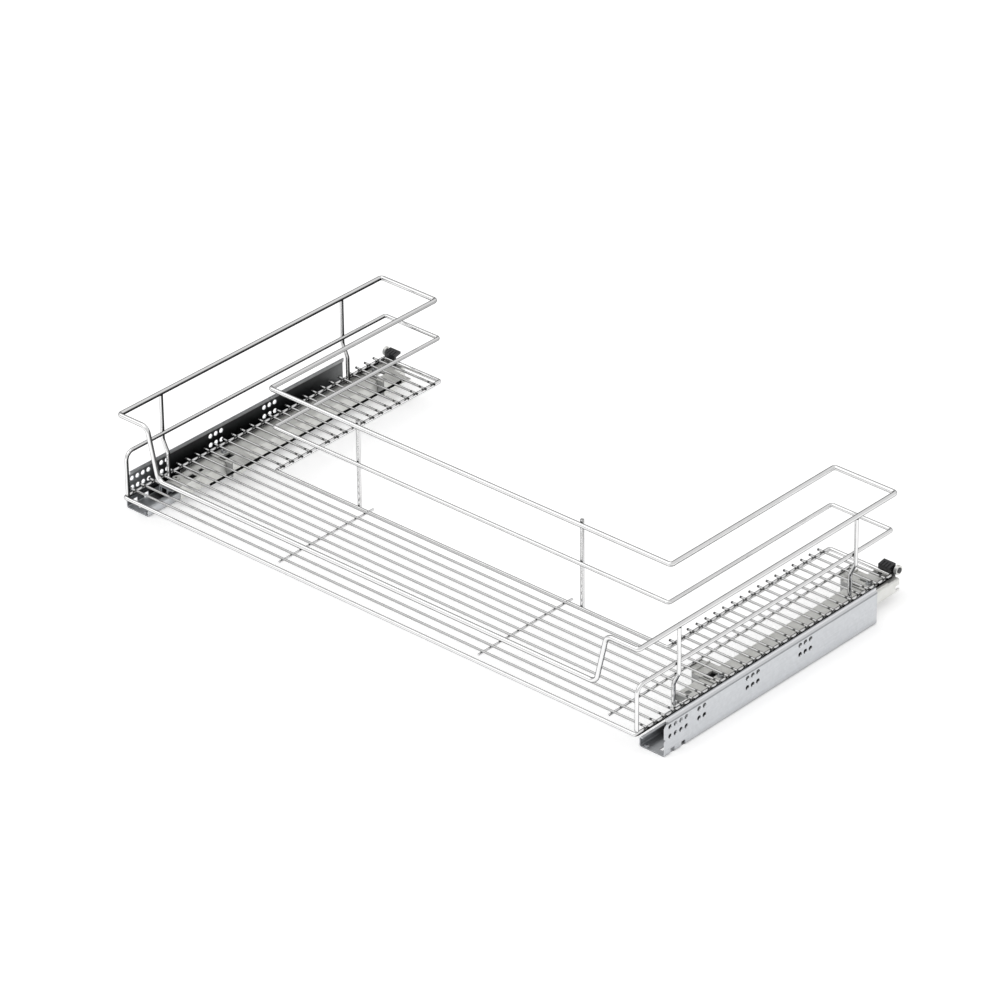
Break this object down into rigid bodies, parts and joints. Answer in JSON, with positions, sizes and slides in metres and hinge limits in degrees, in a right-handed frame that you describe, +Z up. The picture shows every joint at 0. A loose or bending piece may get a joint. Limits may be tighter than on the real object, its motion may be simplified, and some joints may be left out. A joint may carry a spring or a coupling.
{
  "type": "pull out cabinet basket",
  "caption": "U-shaped chromed wire basket for an under-sink cabinet, which pulls out on two concealed full-extension runners with screw flanges for the cabinet sides",
  "frame": {"origin": "middle of the width and of the depth, at the underside of the cabinet rails", "axes": "+X to the right seen from the front of the cabinet, +Y to the back of the cabinet, +Z up"},
  "size_m": [0.864, 0.4826, 0.1519],
  "materials": {
    "chrome_wire": "bright chrome plating on round steel bar",
    "zinc_steel": "bright zinc-plated sheet steel, light cool grey",
    "plated_steel": "zinc-plated sheet steel, slightly warmer grey",
    "roller_steel": "ground steel",
    "black_plastic": "moulded black plastic",
    "black_rubber": "soft black rubber"
  },
  "bodies": {
    "rails": {"cabinet_rail_left": "zinc_steel", "cabinet_rail_right": "zinc_steel", "closing_buffer_left": "black_rubber", "closing_buffer_right": "black_rubber"},
    "basket": {"drawer_member_left": "plated_steel", "drawer_member_right": "plated_steel", "front_bracket_left": "plated_steel", "front_bracket_right": "plated_steel", "rear_bracket_left": "plated_steel", "rear_bracket_right": "plated_steel", "bracket_screws_left": "zinc_steel", "bracket_screws_right": "zinc_steel", "catch_plate_left": "plated_steel", "rear_hook_left": "black_plastic", "rear_hook_right": "black_plastic", "hook_ring_left": "plated_steel", "hook_ring_right": "plated_steel", "top_rail": "chrome_wire", "middle_rail": "chrome_wire", "base_frame": "chrome_wire", "tray_floor_wires": "chrome_wire", "left_arm_wires": "chrome_wire", "right_arm_wires": "chrome_wire", "tray_stiffeners": "chrome_wire", "left_arm_stiffener": "chrome_wire", "right_arm_stiffener": "chrome_wire", "side_post_front_left": "chrome_wire", "side_post_front_right": "chrome_wire", "side_post_rear_left": "chrome_wire", "side_post_rear_right": "chrome_wire", "back_post_left": "chrome_wire", "back_post_right": "chrome_wire"},
    "middle_left": {"middle_member_left": "zinc_steel"},
    "middle_right": {"middle_member_right": "zinc_steel"},
    "lower_rollers_of_left": {"lower_cage_left": "black_plastic", "lower_rollers_left": "roller_steel"},
    "lower_rollers_of_right": {"lower_cage_right": "black_plastic", "lower_rollers_right": "roller_steel"},
    "upper_rollers_of_left": {"upper_cage_left": "black_plastic", "upper_rollers_left": "roller_steel"},
    "upper_rollers_of_right": {"upper_cage_right": "black_plastic", "upper_rollers_right": "roller_steel"}
  },
  "joints": [
    {"name": "basket_slide", "type": "slide", "parent": "rails", "child": "basket", "axis": [0, -1, 0], "range_m": [0, 0.38]},
    {"name": "middle_left_slide", "type": "slide", "parent": "rails", "child": "middle_left", "axis": [0, -1, 0], "range_m": [0, 0.19]},
    {"name": "middle_right_slide", "type": "slide", "parent": "rails", "child": "middle_right", "axis": [0, -1, 0], "range_m": [0, 0.19]},
    {"name": "lower_cage_left_slide", "type": "slide", "parent": "rails", "child": "lower_rollers_of_left", "axis": [0, -1, 0], "range_m": [0, 0.095]},
    {"name": "lower_cage_right_slide", "type": "slide", "parent": "rails", "child": "lower_rollers_of_right", "axis": [0, -1, 0], "range_m": [0, 0.095]},
    {"name": "upper_cage_left_slide", "type": "slide", "parent": "rails", "child": "upper_rollers_of_left", "axis": [0, -1, 0], "range_m": [0, 0.2851]},
    {"name": "upper_cage_right_slide", "type": "slide", "parent": "rails", "child": "upper_rollers_of_right", "axis": [0, -1, 0], "range_m": [0, 0.2851]}
  ],
  "couplings": [
    {"joint": "middle_left_slide", "follows": "basket_slide", "ratio": 0.5},
    {"joint": "middle_right_slide", "follows": "basket_slide", "ratio": 0.5},
    {"joint": "lower_cage_left_slide", "follows": "basket_slide", "ratio": 0.25},
    {"joint": "lower_cage_right_slide", "follows": "basket_slide", "ratio": 0.25},
    {"joint": "upper_cage_left_slide", "follows": "basket_slide", "ratio": 0.75},
    {"joint": "upper_cage_right_slide", "follows": "basket_slide", "ratio": 0.75}
  ]
}
